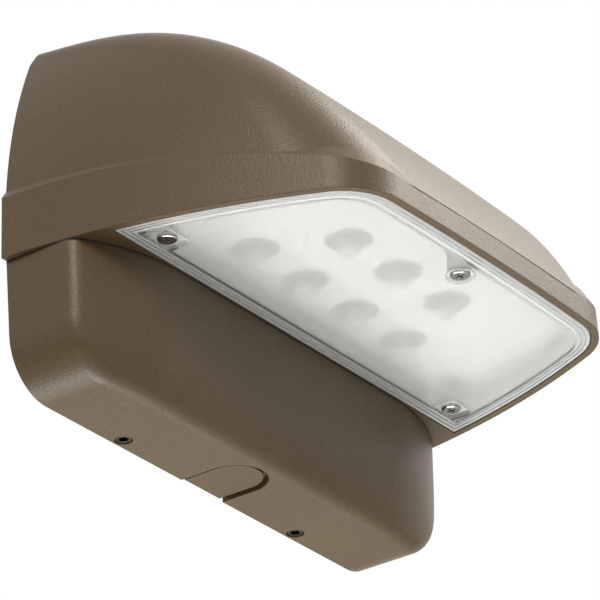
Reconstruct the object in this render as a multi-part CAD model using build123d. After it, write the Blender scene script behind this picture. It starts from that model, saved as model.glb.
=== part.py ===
"""Compact LED wall pack light, in millimetres.

The origin is the centre of the wall plate on the wall plane: X runs along the wall, -Y points away from the
wall, +Z is up. Depths are measured out from the wall, heights up from the bottom edge of the head's band.
"""

import os
from math import asin, cos, degrees, hypot, radians, sin, sqrt, tan

from build123d import *

# Head: the band round its bottom edge
BAND_BOTTOM_Z = -19.0
BAND_HALF_WIDTH = 102.0
BAND_DEPTH = 117.4
SIDE_SWEEP_RADIUS = 280.0
BAND_SIDE_LEAN = 4.0
BAND_FRONT_RADIUS = 1500.0
BAND_CORNER_RADIUS = 24.0
BAND_HEIGHT_WALL = 21.5
BAND_HEIGHT_FRONT = 8.2
BAND_LEVEL_DEPTH = 20.0
BAND_DRAFT = 2.0
LEDGE_WIDTH = 3.2
LEDGE_RISE = 4.6

# Head: the hood above the band
HOOD_TOP = 82.0
HOOD_SIDE_INSET = 2.5
HOOD_SIDE_LEAN = 2.7
HOOD_SIDE_RISE_RADIUS = 160.0
HOOD_SIDE_FOOT = 10.5
HOOD_CREST_SETBACK = 32.4
HOOD_CREST_DROP = 29.0
HOOD_CREST_ANGLE = 45.0
HOOD_FRONT_STEP = 0.4
HOOD_WALL_CORNER_RADIUS = 4.0
HOOD_CREST_CORNER_RADIUS = 22.0
HOOD_FRONT_CORNER_RADIUS = 41.0
HOOD_BOW_SHARE = 0.85
HOOD_FRONT_OVERRUN = 6.0
HOOD_SEAT = 0.3
FAN_HEIGHT = -60.0
FAN_ROOT = 60.0
CAST_WALL = 2.8
FLOOR_THICKNESS = 3.0
WALL_BEVEL_CLEARANCE = 0.6
LEDGE_NOTCH_CLEARANCE = 1.5

# Lower box
BOX_SIDE_INSET = 2.5
BOX_DEPTH = 37.2
BOX_BOTTOM = -43.3
BOX_DRAFT = 1.5
BOX_SWEEP_REACH = 39.5
BOX_SWEEP_RADIUS = 70.0
BOX_CURL_START = -16.0
BOX_CURL_SHARE = 0.78
BOX_BOTTOM_CORNER_RADIUS = 18.0
BOX_EDGE_RADIUS = 6.5
BOX_WALL = 3.0
SEAM_GAP = 0.5

# Lens and what lies over it
LENS_INSET = 3.1
LENS_BOX_GAP = 0.5
LENS_GAP = 0.4
LENS_LOW = 0.2
LENS_THICKNESS = 3.0
LENS_PROUD = 0.8
LENS_RIM = 4.4
LENS_GROOVES = (1.1, 2.7)
LENS_GROOVE_WIDTH = 0.6
LENS_GROOVE_DEPTH = 0.5
LENS_POCKET_CORNER_RADIUS = 2.4
LENS_BEVEL = 0.5
LENS_SCREW_SIDE_GAP = 13.0
LENS_SCREW_BACK_GAP = 8.9
LENS_SCREW_FRONT_GAP = 11.7
LENS_POCKET_WIDTH = 12.0
LENS_POCKET_LENGTH = 9.6
LENS_POCKET_DEPTH = 2.0
LENS_GASKET_WIDTH = 4.2
LENS_GASKET_THICKNESS = 0.9
SHELF_WIDTH = 6.6
TRAY_SHEET = 0.8
TRAY_RIM_INSET = 1.0
TRAY_SLOPE = 0.8
TRAY_DEPTH = 7.5

# LED board
LED_PITCH = 27.5
LED_ROW_BACK_GAP = 15.9
LED_ROW_SPACING = 26.0
BOARD_WIDTH = 114.0
BOARD_LENGTH = 42.0
BOARD_THICKNESS = 1.6
BOARD_SCREW_SIDE_MARGIN = 6.0
BOARD_SCREW_END_MARGIN = 4.0
PAD_THICKNESS = 0.5
EMITTER_SIDE = 3.5
EMITTER_BASE = 0.7
EMITTER_DOME_RADIUS = 1.5
OPTIC_RADIUS = 7.0
OPTIC_DOME_RADIUS = 4.7
OPTIC_HOLLOW_RADIUS = 3.2
OPTIC_SKIRT = 1.6
OPTIC_HEIGHT = 7.4
OPTIC_CLEARANCE = 0.6

# Wall plate and the hooks that the head hangs on
PLATE_THICKNESS = 2.0
PLATE_SIDE_GAP = 24.0
PLATE_ROD_GAP = 9.0
PLATE_CORNER_RADIUS = 10.0
FLANGE_LENGTH = 9.0
FLANGE_HALF_WIDTH = 60.0
WIRE_HOLE_RADIUS = 11.0
BOX_SLOT_NEAR = 69.85
BOX_SLOT_FAR = 88.9
BOX_SLOT_WIDTH = 5.0
HOOK_X = 45.0
HOOK_WIDTH = 14.0
ROD_RADIUS = 2.0
ROD_DEPTH = 9.0
ROD_DROP = 7.0
ROD_RUNNING_CLEARANCE = 0.1
ROD_OVERHANG = 1.0
LUG_HOOK_SPACING = 15.0
LUG_WIDTH = 6.0
LUG_REACH = 3.5
SWING_ANGLE = 20.0

# Wall gasket and the ledge that backs it
GASKET_DEPTH = 2.5
GASKET_WIDTH = 5.0
GASKET_DROP = 6.0
GASKET_FOOT = -24.0
GASKET_SHOULDER_RADIUS = 3.0
LEDGE_THICKNESS = 2.5

# Locking set screws
SET_SCREW_X = 46.4
SET_SCREW_DEPTH = 3.6
SET_SCREW_RADIUS = 2.95
SET_SCREW_LENGTH = 5.8
SET_SCREW_RECESS = 0.3
SET_SCREW_TIP_GAP = 0.3
SET_SCREW_HEX = 3.0
SET_SCREW_HEX_DEPTH = 3.0
SET_SCREW_BEVEL = 0.4
SET_SCREW_BOSS_RADIUS = 6.0
SET_SCREW_BOSS_RISE = 5.3

# Conduit slot and its plug
SLOT_RADIUS = 11.1
SLOT_CENTRE_DEPTH = 12.7
PLUG_GAP = 1.7
PLUG_RECESS = 0.7
PLUG_LIP = 2.3
PLUG_LIP_FRONT = 1.8
PLUG_LIP_THICKNESS = 1.4

# Driver in the lower box
DRIVER_WIDTH = 96.0
DRIVER_THICKNESS = 17.5
DRIVER_HEIGHT = 25.0
DRIVER_WALL_GAP = 6.7
DRIVER_FLOOR_GAP = 7.3
DRIVER_EAR = 12.0
DRIVER_EAR_THICKNESS = 2.0
DRIVER_EAR_HALF_HEIGHT = 7.0
DRIVER_CORNER_RADIUS = 2.5
DRIVER_SCREW_LENGTH = 6.5
DRIVER_SCREW_HEAD = 2.0

# Screws that join the castings
TAB_X = 50.0
TAB_WIDTH = 14.0
TAB_THICKNESS = 2.9
TAB_FOOT = -10.0
TAB_SCREW_LIFT = 3.2
TAB_SCREW_MARGIN = 3.8
TAB_SCREW_HEAD = 2.2

# Fasteners and clearances
M4_RADIUS = 2.0
M35_RADIUS = 1.75
M3_RADIUS = 1.5
THREAD_CLEARANCE = 0.02
HOLE_CLEARANCE = 0.25
SEAT_CLEARANCE = 0.1
PART_CLEARANCE = 0.3
BOSS_WALL = 2.25
PAN_HEAD_RATIO = 1.9
CROSS_WIDTH_RATIO = 0.4
GROUND_SIDE_GAP = 18.0
GROUND_HEIGHT = -15.0
GROUND_BOSS_LENGTH = 4.0
GROUND_HOLE_FLOOR = 0.5
GROUND_HEAD_HEIGHT = 3.0
GROUND_HEX = 8.0

# Leads
LED_LEAD_RADIUS = 0.9
SUPPLY_LEAD_RADIUS = 1.1
LEAD_PAIR_HALF_SPACING = 1.7
GROMMET_RADIUS = 4.0
GROMMET_LIP = 1.5
CONNECTOR_WIDTH = 8.0
CONNECTOR_DEPTH = 9.0
CONNECTOR_HEIGHT = 18.0
CONNECTOR_FOOT = 38.0
CONNECTOR_SHIFT = 1.0
CONNECTOR_MIDDLE_DEPTH = 18.0
SUPPLY_X = (-40.0, -29.0, -18.0)


def sagitta(radius, reach):
    """How far an arc of this radius falls away over this reach."""
    return radius - sqrt(radius**2 - reach**2)


def side_half_width(half_width, lean, depth):
    """Half width of the head's swept side at a depth."""
    start = SIDE_SWEEP_RADIUS * sin(radians(lean))
    return half_width - sagitta(SIDE_SWEEP_RADIUS, depth + start) + sagitta(SIDE_SWEEP_RADIUS, start)


# Worked out from the sizes above
HOOD_HALF_WIDTH = BAND_HALF_WIDTH - HOOD_SIDE_INSET
HOOD_CREST_DEPTH = BAND_DEPTH - HOOD_CREST_SETBACK
HOOD_CREST_HEIGHT = HOOD_TOP - HOOD_CREST_DROP
BOX_HALF_WIDTH = BAND_HALF_WIDTH - BOX_SIDE_INSET
BOX_FLAT_HALF_WIDTH = BOX_HALF_WIDTH - BOX_SWEEP_REACH
LENS_BACK = BOX_DEPTH + LENS_BOX_GAP
LENS_SCREW_DEPTH = LENS_BACK + LENS_SCREW_BACK_GAP
LENS_SIDE_AT_SCREW = side_half_width(BAND_HALF_WIDTH, BAND_SIDE_LEAN, LENS_SCREW_DEPTH) - LENS_INSET
LENS_SCREW_X = LENS_SIDE_AT_SCREW - LENS_SCREW_SIDE_GAP
LENS_FRONT_SCREW_DEPTH = BAND_DEPTH - LENS_INSET - LENS_SCREW_FRONT_GAP
LED_ROW_DEPTH = LENS_BACK + LED_ROW_BACK_GAP
ROD_HEIGHT = HOOD_TOP - ROD_DROP
PLATE_HALF_WIDTH = BAND_HALF_WIDTH - PLATE_SIDE_GAP
PLATE_TOP = ROD_HEIGHT - PLATE_ROD_GAP
GROUND_X = PLATE_HALF_WIDTH - GROUND_SIDE_GAP
GASKET_TOP = HOOD_TOP - GASKET_DROP
LUG_PLACES = [side * HOOK_X + step * LUG_HOOK_SPACING for side in (-1, 1) for step in (-1, 1)]
ROD_HALF_LENGTH = HOOK_X + LUG_HOOK_SPACING + LUG_WIDTH / 2 + ROD_OVERHANG
LENS_TOP = LENS_LOW + LENS_THICKNESS
SHELF = LENS_TOP + LENS_GASKET_THICKNESS + TRAY_SHEET
BOARD_BOTTOM = SHELF + TRAY_DEPTH + TRAY_SHEET
BOARD_TOP = BOARD_BOTTOM + BOARD_THICKNESS
FLOOR_BOTTOM = BOARD_TOP + PAD_THICKNESS
FLOOR_TOP = FLOOR_BOTTOM + FLOOR_THICKNESS
BOX_FLOOR = BOX_BOTTOM + BOX_WALL
DRIVER_FAR = BOX_DEPTH - BOX_WALL - DRIVER_WALL_GAP
DRIVER_NEAR = DRIVER_FAR - DRIVER_THICKNESS
DRIVER_LOW = BOX_FLOOR + DRIVER_FLOOR_GAP
DRIVER_HIGH = DRIVER_LOW + DRIVER_HEIGHT
TAB_SCREW_HEIGHT = SHELF + TAB_SCREW_LIFT
TAB_TOP = TAB_SCREW_HEIGHT + TAB_SCREW_MARGIN
TAB_SCREW_END = LENS_BACK + SHELF_WIDTH - CAST_WALL
SET_SCREW_TIP = BOX_BOTTOM + SET_SCREW_RECESS + SET_SCREW_LENGTH
FLANGE_BOTTOM = SET_SCREW_TIP + SET_SCREW_TIP_GAP
DRIVER_MIDDLE_HEIGHT = (DRIVER_LOW + DRIVER_HIGH) / 2
DRIVER_MIDDLE_DEPTH = (DRIVER_NEAR + DRIVER_FAR) / 2
DRIVER_SCREW_X = (DRIVER_WIDTH + DRIVER_EAR) / 2
TAB_NEAR = BOX_DEPTH - BOX_WALL - SEAT_CLEARANCE - TAB_THICKNESS
TAB_PLACES = (-TAB_X, 0, TAB_X)
LED_BOARD_DEPTH = LED_ROW_DEPTH + LED_ROW_SPACING / 2
LED_PLACES = [(step * LED_PITCH, LED_ROW_DEPTH) for step in (-1.5, -0.5, 0.5, 1.5)]
LED_PLACES += [(step * LED_PITCH, LED_ROW_DEPTH + LED_ROW_SPACING) for step in (-1, 0, 1)]
LENS_SCREWS = [(-LENS_SCREW_X, LENS_SCREW_DEPTH), (LENS_SCREW_X, LENS_SCREW_DEPTH), (0, LENS_FRONT_SCREW_DEPTH)]
BOARD_SCREW_X = BOARD_WIDTH / 2 - BOARD_SCREW_SIDE_MARGIN
BOARD_SCREW_REACH = BOARD_LENGTH / 2 - BOARD_SCREW_END_MARGIN
BOARD_SCREWS = [
    (side * BOARD_SCREW_X, LED_BOARD_DEPTH + end * BOARD_SCREW_REACH)
    for side in (-1, 1)
    for end in (-1, 1)
]
FAR = 150.0
CUT_PAST = 1.0


def height(up):
    """Z of a height above the band's bottom edge."""
    return up + BAND_BOTTOM_Z


def block(left, right, near, far, low, high):
    """Box between two sides, two depths and two heights."""
    corner = Pos(left, -far, height(low))
    return corner * Box(right - left, far - near, high - low, align=(Align.MIN, Align.MIN, Align.MIN))


def prism(sketch, low, high):
    """Upright prism of a plan sketch between two heights."""
    placed = Pos(0, 0, height(low)) * sketch
    return Part() + [Solid.extrude(face, (0, 0, high - low)) for face in placed.faces()]


def sheet(sketch, near, far):
    """Plate of an elevation sketch (X, height above the band's bottom) between two depths."""
    placed = Pos(0, -near, BAND_BOTTOM_Z) * Rot(90, 0, 0) * sketch
    return Part() + [Solid.extrude(face, (0, near - far, 0)) for face in placed.faces()]


def section(points_face, half_width):
    """Solid of a side-view face, drawn as (-depth, height), to both sides of the middle."""
    placed = Pos(-half_width, 0, BAND_BOTTOM_Z) * (Plane.YZ * points_face)
    return Part() + [Solid.extrude(face, (2 * half_width, 0, 0)) for face in placed.faces()]


def upright(x, depth, low, high, radius):
    """Vertical cylinder."""
    foot = Pos(x, -depth, height(low))
    return foot * Cylinder(radius, high - low, align=(Align.CENTER, Align.CENTER, Align.MIN))


def outward(x, up, near, far, radius):
    """Cylinder that runs out from the wall."""
    foot = Pos(x, -near, height(up)) * Rot(90, 0, 0)
    return foot * Cylinder(radius, far - near, align=(Align.CENTER, Align.CENTER, Align.MIN))


def sideways(half_length, depth, up, radius):
    """Cylinder along X, centred on the middle."""
    return Pos(0, -depth, height(up)) * Rot(0, 90, 0) * Cylinder(radius, 2 * half_length)


def hexagon(across_flats, depth):
    """Upright hexagonal prism that starts at the origin."""
    return extrude(RegularPolygon(across_flats / sqrt(3), 6), depth)


def band_outline(inset=0.0, back=0.0):
    """Plan of the head's band, drawn in by an inset, from a back line to the front."""

    def side(depth):
        return side_half_width(BAND_HALF_WIDTH, BAND_SIDE_LEAN, depth) - inset

    beyond = BAND_DEPTH + BAND_CORNER_RADIUS
    middle = (back + beyond) / 2
    flanks = make_face(
        [
            Line((-side(back), -back), (side(back), -back)),
            ThreePointArc((side(back), -back), (side(middle), -middle), (side(beyond), -beyond)),
            Line((side(beyond), -beyond), (-side(beyond), -beyond)),
            ThreePointArc((-side(beyond), -beyond), (-side(middle), -middle), (-side(back), -back)),
        ]
    )
    front = BAND_DEPTH - inset
    reach = BAND_HALF_WIDTH + BAND_CORNER_RADIUS
    end = -front + sagitta(BAND_FRONT_RADIUS, reach)
    nose = make_face(
        [
            ThreePointArc((reach, end), (0, -front), (-reach, end)),
            Polyline((-reach, end), (-reach, reach), (reach, reach), (reach, end)),
        ]
    )
    outline = (flanks & nose).faces()[0]
    return fillet(outline.vertices().sort_by(Axis.Y)[:2], BAND_CORNER_RADIUS - inset)


def band_solid():
    """Drafted band with its ledge, its top edge sweeping down to the front."""
    tall = BAND_HEIGHT_WALL + LEDGE_RISE + 5
    drawn_in = tall * tan(radians(BAND_DRAFT))
    body = loft([Pos(0, 0, height(0)) * band_outline(), Pos(0, 0, height(tall)) * band_outline(drawn_in)])
    fall = BAND_HEIGHT_WALL - BAND_HEIGHT_FRONT
    run = BAND_DEPTH - BAND_LEVEL_DEPTH
    sweep_radius = (run**2 + fall**2) / (2 * fall)
    level = BAND_HEIGHT_WALL + LEDGE_RISE
    far = BAND_DEPTH + 5
    middle = (BAND_LEVEL_DEPTH + far) / 2

    def crown(depth):
        return (-depth, level - sagitta(sweep_radius, depth - BAND_LEVEL_DEPTH))

    under = make_face(
        [
            Line((10, level), (-BAND_LEVEL_DEPTH, level)),
            ThreePointArc((-BAND_LEVEL_DEPTH, level), crown(middle), crown(far)),
            Polyline(crown(far), (-far, -5), (10, -5), (10, level)),
        ]
    )
    band = body & section(under, FAR)
    rim = []
    for edge in band.edges():
        limits = edge.bounding_box()
        if limits.min.Z > height(BAND_HEIGHT_FRONT) and limits.size.Y > 1e-3:
            rim.append(edge)
    return chamfer(rim, LEDGE_RISE, LEDGE_WIDTH)


def hood_profile(inset):
    """Stations down the hood's middle section, as (depth, height, corner radius), drawn in by an inset."""
    crest = radians(HOOD_CREST_ANGLE)
    top_radius = (HOOD_TOP - HOOD_CREST_HEIGHT) / (1 - sin(crest))
    top_centre = (HOOD_CREST_DEPTH - top_radius * cos(crest), HOOD_TOP - top_radius)
    step_out = BAND_DEPTH - HOOD_FRONT_STEP - HOOD_CREST_DEPTH
    step_up = BAND_HEIGHT_FRONT - HOOD_CREST_HEIGHT
    front_radius = -hypot(step_out, step_up) ** 2 / (2 * (step_out * cos(crest) + step_up * sin(crest)))
    front_centre = (HOOD_CREST_DEPTH - front_radius * cos(crest), HOOD_CREST_HEIGHT - front_radius * sin(crest))

    def on_arc(centre, radius, angle, corner):
        turn = radians(angle)
        return (centre[0] + (radius - inset) * cos(turn), centre[1] + (radius - inset) * sin(turn), corner)

    def between(first, last, share):
        return first + (last - first) * share

    stations = [(0.0, HOOD_TOP - inset, HOOD_WALL_CORNER_RADIUS)]
    for share in (0, 1 / 3, 2 / 3):
        angle = between(90, HOOD_CREST_ANGLE, share)
        corner = between(HOOD_WALL_CORNER_RADIUS, HOOD_CREST_CORNER_RADIUS, (1 + 3 * share) / 4)
        stations.append(on_arc(top_centre, top_radius, angle, corner))
    front_angle = degrees(asin((BAND_HEIGHT_FRONT - front_centre[1]) / front_radius))
    for share in (0, 1 / 3, 2 / 3, 1):
        angle = between(HOOD_CREST_ANGLE, front_angle - HOOD_FRONT_OVERRUN, share)
        corner = between(HOOD_CREST_CORNER_RADIUS, HOOD_FRONT_CORNER_RADIUS, share)
        stations.append(on_arc(front_centre, front_radius, angle, corner))
    return stations


def hood_form(inset):
    """Closed hood, drawn in by an inset: a loft of sections that fan out from a line below the wall corner."""

    def half_width(depth, up):
        rise = max(up - HOOD_SIDE_FOOT, 0)
        swept = side_half_width(HOOD_HALF_WIDTH, HOOD_SIDE_LEAN, depth)
        return swept - sagitta(HOOD_SIDE_RISE_RADIUS, rise) - inset

    sections = []
    root = FAN_ROOT - inset
    for depth, up, corner in hood_profile(inset):
        reach = hypot(depth, up - FAN_HEIGHT)
        out, rise = depth / reach, (up - FAN_HEIGHT) / reach
        bow = sagitta(BAND_FRONT_RADIUS, half_width(depth, up)) * HOOD_BOW_SHARE * depth / BAND_DEPTH
        places = (root, (root + reach - bow) / 2, reach - bow)
        widths = [(half_width(out * r, FAN_HEIGHT + rise * r), r) for r in places]
        mirrored = [(-x, r) for x, r in reversed(widths)]
        front = ThreePointArc(widths[2], (0, reach), mirrored[0]) if bow else Line(widths[2], mirrored[0])
        outline = make_face(
            [Line(mirrored[2], widths[0]), ThreePointArc(*widths), front, ThreePointArc(*mirrored)]
        )
        rounded = fillet(outline.vertices().sort_by(Axis.Y)[-2:], corner - inset)
        plane = Plane(origin=(0, 0, height(FAN_HEIGHT)), x_dir=(1, 0, 0), z_dir=(0, -rise, -out))
        sections.append(plane * rounded)
    return loft(sections)


def box_form(inset, top):
    """Closed lower box, drawn in by an inset, from its bottom up to a height."""
    full_rise = sagitta(BOX_SWEEP_RADIUS, BOX_SWEEP_REACH)
    curl = full_rise * BOX_CURL_SHARE
    fall = BOX_CURL_START - BOX_BOTTOM
    curl_radius = (fall**2 + curl**2) / (2 * curl)

    def drawn(up):
        return inset - up * tan(radians(BOX_DRAFT))

    def plan(up):
        curled = sagitta(curl_radius, max(BOX_CURL_START + inset - up, 0))
        front = BOX_DEPTH - drawn(up) - curled
        rise = full_rise - curled
        sweep = (BOX_SWEEP_REACH**2 + rise**2) / (2 * rise)
        past = BOX_SWEEP_REACH + BOX_EDGE_RADIUS
        start, middle, end = [
            (BOX_FLAT_HALF_WIDTH + reach, sagitta(sweep, reach) - front) for reach in (0, past / 2, past)
        ]
        back = CUT_PAST + inset
        outline = make_face(
            [
                Line((-start[0], start[1]), start),
                ThreePointArc(start, middle, end),
                Polyline(end, (end[0], back), (-end[0], back), (-end[0], end[1])),
                ThreePointArc((-end[0], end[1]), (-middle[0], middle[1]), (-start[0], start[1])),
            ]
        )
        return Pos(0, 0, height(up)) * outline

    bottom = BOX_BOTTOM + inset
    foot = bottom - CUT_PAST
    start = BOX_CURL_START + inset
    curled_steps = 4
    straight_steps = max(round(curled_steps * (top - start) / (start - foot)), 1)
    levels = [foot + (start - foot) * step / curled_steps for step in range(curled_steps)]
    levels += [start + (top - start) * step / straight_steps for step in range(straight_steps + 1)]
    front_form = loft([plan(up) for up in levels])
    low, high = BOX_HALF_WIDTH - drawn(bottom), BOX_HALF_WIDTH - drawn(top)
    elevation = make_face(Polyline((-low, bottom), (low, bottom), (high, top), (-high, top), close=True))
    elevation = fillet(elevation.vertices().sort_by(Axis.Y)[:2], BOX_BOTTOM_CORNER_RADIUS - inset)
    form = front_form & sheet(elevation, -inset, FAR)
    rim = []
    for edge in form.edges():
        limits = edge.bounding_box()
        in_front = limits.max.Y < -BOX_DEPTH / 2
        below_top = limits.min.Z < height(top) - CUT_PAST
        on_flat_end = abs(abs(edge.center().X) - BOX_FLAT_HALF_WIDTH) < 1 and limits.size.Z > 1
        if in_front and below_top and not on_flat_end:
            rim.append(edge)
    return fillet(rim, BOX_EDGE_RADIUS - inset)


def slab(near, far, low, high):
    """Wide block between two depths and two heights, for trimming."""
    return block(-FAR, FAR, near, far, low, high)


def gasket_outline(inset):
    """Elevation of the wall gasket's edge: an arch, open at the foot of the lower box."""

    def in_hood(up):
        inner = HOOD_HALF_WIDTH - CAST_WALL - PART_CLEARANCE - inset
        return (inner - sagitta(HOOD_SIDE_RISE_RADIUS, up - HOOD_SIDE_FOOT), up)

    def in_box(up):
        return (BOX_HALF_WIDTH - BOX_WALL - PART_CLEARANCE - inset + up * tan(radians(BOX_DRAFT)), up)

    top = GASKET_TOP - inset
    middle = (HOOD_SIDE_FOOT + top) / 2
    right = [in_box(GASKET_FOOT), in_box(0), in_hood(HOOD_SIDE_FOOT), in_hood(middle), in_hood(top)]
    left = [(-x, up) for x, up in right]
    arch = make_face(
        [
            Polyline(left[2], left[1], left[0], right[0], right[1], right[2]),
            ThreePointArc(right[2], right[3], right[4]),
            Line(right[4], left[4]),
            ThreePointArc(left[4], left[3], left[2]),
        ]
    )
    return fillet(arch.vertices().sort_by(Axis.Y)[-2:], GASKET_SHOULDER_RADIUS)


def lens_outline(inset):
    """Plan of the lens, drawn in by an inset."""
    return band_outline(LENS_INSET + inset, LENS_BACK + inset)


def rear_cavity():
    """Space behind and above the optical chamber, open to the wall."""
    upper = hood_form(CAST_WALL) & slab(-1, FAR, FLOOR_TOP, FAR)
    return upper + (box_form(BOX_WALL, FLOOR_TOP + 1) & slab(-1, FAR, -1, FLOOR_TOP + 1))


def wall_ledge(cavity, low, high):
    """Flange round the wall opening that backs the gasket."""
    ring = cavity & slab(GASKET_DEPTH, GASKET_DEPTH + LEDGE_THICKNESS, low, high)
    return ring - sheet(gasket_outline(GASKET_WIDTH), 0, FAR)


def make_head():
    """Die-cast head: hood and band outside, optical chamber and driver cavity inside."""
    body = band_solid() + (hood_form(0) & slab(0, FAR, BAND_HEIGHT_FRONT - HOOD_SEAT, FAR))
    cavity = rear_cavity()
    body -= cavity
    body -= prism(band_outline(LENS_INSET - LENS_GAP, LENS_BACK - LENS_GAP), -1, SHELF)
    body -= prism(lens_outline(SHELF_WIDTH), SHELF - 1, FLOOR_BOTTOM)
    for x, depth in LENS_SCREWS:
        body += upright(x, depth, LENS_TOP + PART_CLEARANCE, FLOOR_BOTTOM, M35_RADIUS + BOSS_WALL)
        body -= upright(x, depth, 0, FLOOR_BOTTOM, M35_RADIUS + THREAD_CLEARANCE)
    for x, depth in BOARD_SCREWS:
        body -= upright(x, depth, FLOOR_BOTTOM - 1, FLOOR_TOP, M3_RADIUS + THREAD_CLEARANCE)
    body -= upright(0, LED_BOARD_DEPTH, FLOOR_BOTTOM - 1, FLOOR_TOP + 1, GROMMET_RADIUS)
    tap = M4_RADIUS + THREAD_CLEARANCE
    for x in TAB_PLACES:
        body -= outward(x, TAB_SCREW_HEIGHT, BOX_DEPTH - BOX_WALL - CUT_PAST, TAB_SCREW_END, tap)
    body += wall_ledge(cavity, 0, HOOD_TOP)
    near, far = ROD_DEPTH - LUG_REACH, ROD_DEPTH + LUG_REACH
    low, high = ROD_HEIGHT - LUG_REACH, HOOD_TOP - CAST_WALL / 2
    for x in LUG_PLACES:
        body += block(x - LUG_WIDTH / 2, x + LUG_WIDTH / 2, near, far, low, high)
    for hook in (-HOOK_X, HOOK_X):
        reach = HOOK_WIDTH / 2 + LEDGE_NOTCH_CLEARANCE
        ledge_end = GASKET_DEPTH + LEDGE_THICKNESS + CUT_PAST
        notch_foot = GASKET_TOP - GASKET_WIDTH - CUT_PAST
        body -= block(hook - reach, hook + reach, 0, ledge_end, notch_foot, HOOD_TOP - CAST_WALL)
    body -= sideways(ROD_HALF_LENGTH + LUG_WIDTH, ROD_DEPTH, ROD_HEIGHT, ROD_RADIUS + THREAD_CLEARANCE)
    return body - top_bevel()


def top_bevel():
    """Wedge off the top rear edge, which lets the head swing on its rod without meeting the wall."""
    slope = tan(radians(SWING_ANGLE))
    pivot_gain = ROD_DEPTH * (1 / cos(radians(SWING_ANGLE)) - 1)
    start = ROD_HEIGHT + (pivot_gain / slope) - WALL_BEVEL_CLEARANCE
    end = HOOD_TOP + 1
    wedge = make_face(Polyline((1, start), (0, start), (-(end - start) * slope, end), (1, end), close=True))
    return section(wedge, FAR)


def u_slot(radius, end_depth, low, high):
    """Slot in the lower box's bottom, open to the wall and round at its far end."""
    sides = block(-radius, radius, 0, end_depth, low, high)
    return sides + (upright(0, end_depth, low, high, radius) & slab(end_depth / 2, FAR, low, high))


def make_box():
    """Die-cast lower box, open to the wall and to the head."""
    solid_form = box_form(0, -SEAM_GAP)
    cavity = box_form(BOX_WALL, SEAM_GAP)
    body = solid_form - cavity + wall_ledge(cavity, GASKET_FOOT, -SEAM_GAP)
    wall = BOX_DEPTH - BOX_WALL / 2
    for side in (-1, 1):
        x = side * SET_SCREW_X
        boss_top = BOX_BOTTOM + SET_SCREW_BOSS_RISE
        bore = SET_SCREW_RADIUS + 2 * THREAD_CLEARANCE
        body += solid_form & upright(x, SET_SCREW_DEPTH, BOX_BOTTOM, boss_top, SET_SCREW_BOSS_RADIUS)
        body -= upright(x, SET_SCREW_DEPTH, BOX_BOTTOM - CUT_PAST, FLANGE_BOTTOM, bore)
        x = side * DRIVER_SCREW_X
        body += outward(x, DRIVER_MIDDLE_HEIGHT, DRIVER_FAR, wall, M35_RADIUS + BOSS_WALL)
        body -= outward(x, DRIVER_MIDDLE_HEIGHT, DRIVER_FAR - 1, wall - 1, M35_RADIUS + THREAD_CLEARANCE)
    for x in TAB_PLACES:
        left, right = x - TAB_WIDTH / 2, x + TAB_WIDTH / 2
        body += block(left, right, TAB_NEAR, TAB_NEAR + TAB_THICKNESS, TAB_FOOT, TAB_TOP)
        body += block(left, right, TAB_NEAR, wall, TAB_FOOT, -SEAM_GAP - CUT_PAST)
        tab_far = TAB_NEAR + TAB_THICKNESS + CUT_PAST
        body -= outward(x, TAB_SCREW_HEIGHT, TAB_NEAR - CUT_PAST, tab_far, M4_RADIUS + HOLE_CLEARANCE)
    return body - u_slot(SLOT_RADIUS, SLOT_CENTRE_DEPTH, BOX_BOTTOM - 1, BOX_FLOOR)


def make_seam_gasket():
    """Thin seal between the lower box's rim and the head."""
    ring = box_form(0, 1) - box_form(BOX_WALL, 2)
    return ring & slab(0, FAR, -SEAM_GAP, 0)


def make_wall_gasket():
    """Foam arch that seals the castings to the wall at the top and sides."""
    return sheet(gasket_outline(0), 0, GASKET_DEPTH) - sheet(gasket_outline(GASKET_WIDTH), -1, FAR) - slab(
        -1, FAR, GASKET_FOOT - 1, GASKET_FOOT
    )


def make_plug():
    """Tongue that fills the conduit slot, with a lip that rides on the box's floor."""
    lip_low = BOX_FLOOR + SEAT_CLEARANCE
    tongue = u_slot(SLOT_RADIUS - PLUG_GAP, SLOT_CENTRE_DEPTH, BOX_BOTTOM + PLUG_RECESS, lip_low)
    lip = u_slot(SLOT_RADIUS + PLUG_LIP, SLOT_CENTRE_DEPTH, lip_low, lip_low + PLUG_LIP_THICKNESS)
    return tongue + (lip & slab(0, SLOT_CENTRE_DEPTH + SLOT_RADIUS - PLUG_LIP_FRONT, lip_low, 0))


def make_set_screw(side):
    """Cup-point socket screw in the lower box's bottom."""
    low = BOX_BOTTOM + SET_SCREW_RECESS
    x = side * SET_SCREW_X
    screw = upright(x, SET_SCREW_DEPTH, low, low + SET_SCREW_LENGTH, SET_SCREW_RADIUS)
    socket = Pos(x, -SET_SCREW_DEPTH, height(low)) * hexagon(SET_SCREW_HEX, SET_SCREW_HEX_DEPTH)
    ends = screw.edges().filter_by(GeomType.CIRCLE)
    return chamfer(ends, SET_SCREW_BEVEL) - socket


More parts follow.
